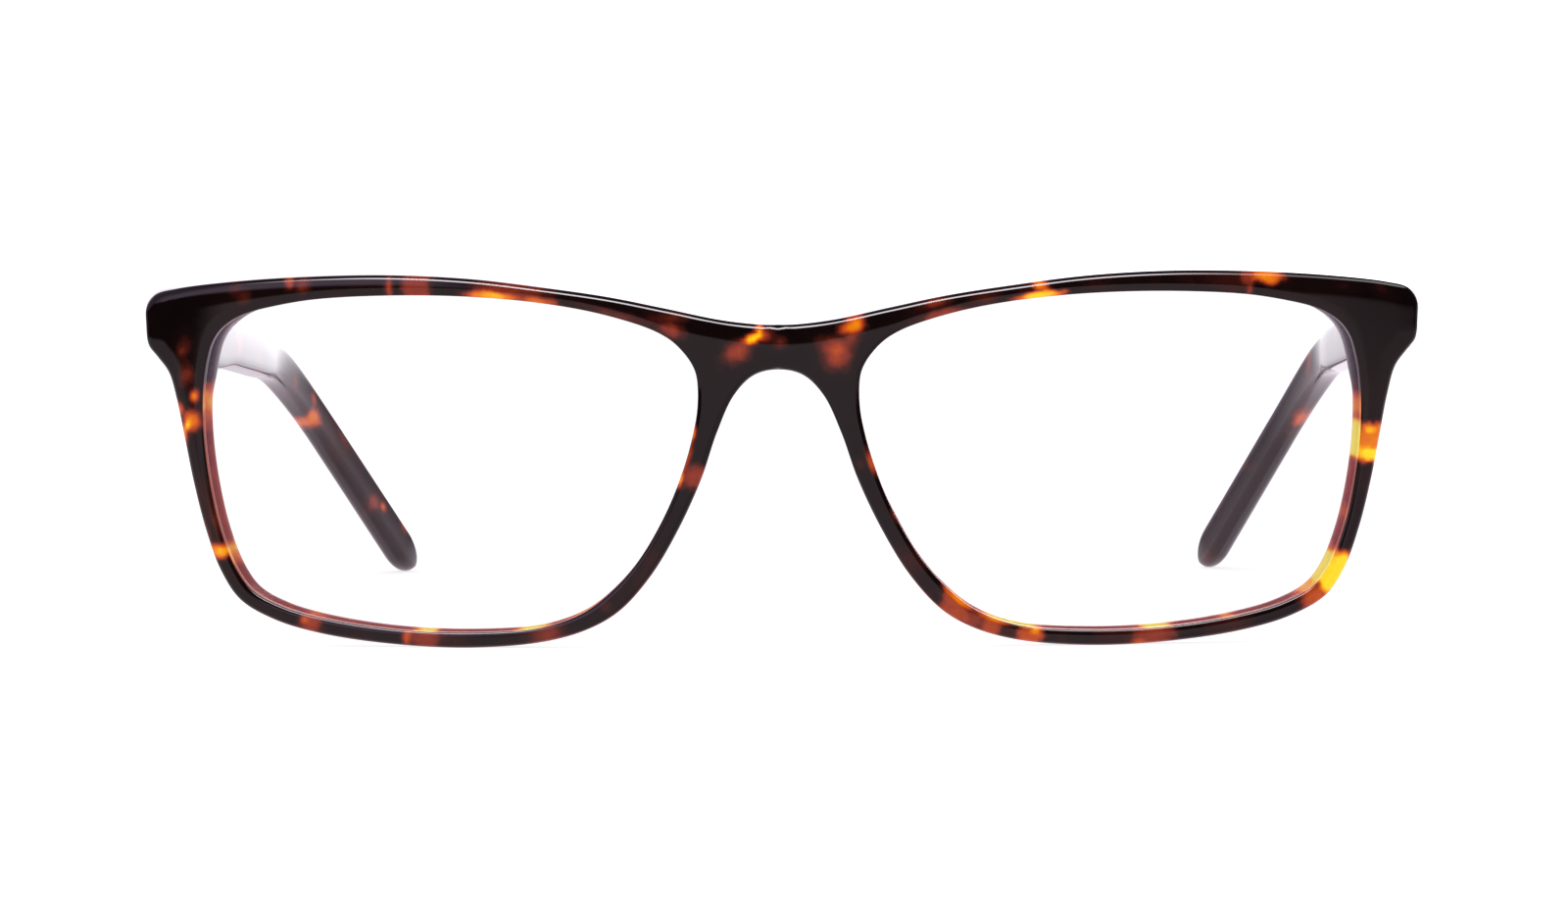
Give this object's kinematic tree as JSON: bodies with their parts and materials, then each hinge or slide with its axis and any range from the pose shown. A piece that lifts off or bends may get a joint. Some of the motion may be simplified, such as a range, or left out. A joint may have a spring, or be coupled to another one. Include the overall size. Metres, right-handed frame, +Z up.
{
  "type": "eyeglasses frame",
  "caption": "Rectangular full-rim eyeglasses frame in tortoiseshell acetate with clear demo lenses, nose pads, barrel hinges and folding temples.",
  "frame": {"origin": "middle of the base of the frame standing open on a table: on the table plane, midway between its sides and midway between the front and the temple tips", "axes": "+Z up from the table, -Y the way the front faces, +X to the right of someone looking at the front (the wearer's left)"},
  "size_m": [0.1374, 0.1334, 0.0401],
  "materials": {
    "front_acetate": "polished tortoiseshell cellulose acetate",
    "temple_acetate": "polished tortoiseshell cellulose acetate",
    "pad_acetate": "polished acetate",
    "lens_plastic": "clear demo lens",
    "hinge_metal": "nickel silver",
    "screw_steel": "polished steel",
    "wire_steel": "drawn wire"
  },
  "bodies": {
    "front": {"front_frame": "front_acetate", "left_lens": "lens_plastic", "left_nose_pad": "pad_acetate", "left_front_hinge_leaf": "hinge_metal", "left_hinge_screw": "screw_steel", "right_lens": "lens_plastic", "right_nose_pad": "pad_acetate", "right_front_hinge_leaf": "hinge_metal", "right_hinge_screw": "screw_steel"},
    "left_temple": {"left_temple": "temple_acetate", "left_temple_hinge_leaf": "hinge_metal", "left_core_wire": "wire_steel"},
    "right_temple": {"right_temple": "temple_acetate", "right_temple_hinge_leaf": "hinge_metal", "right_core_wire": "wire_steel"}
  },
  "joints": [
    {"name": "left_temple_fold", "type": "hinge", "parent": "front", "child": "left_temple", "pos_m": [0.0625, -0.05317, 0.03483], "axis": [0, 0.0785, 0.9969], "range_deg": [0, 83]},
    {"name": "right_temple_fold", "type": "hinge", "parent": "front", "child": "right_temple", "pos_m": [-0.0625, -0.05317, 0.03483], "axis": [0, -0.0785, -0.9969], "range_deg": [0, 66]}
  ]
}
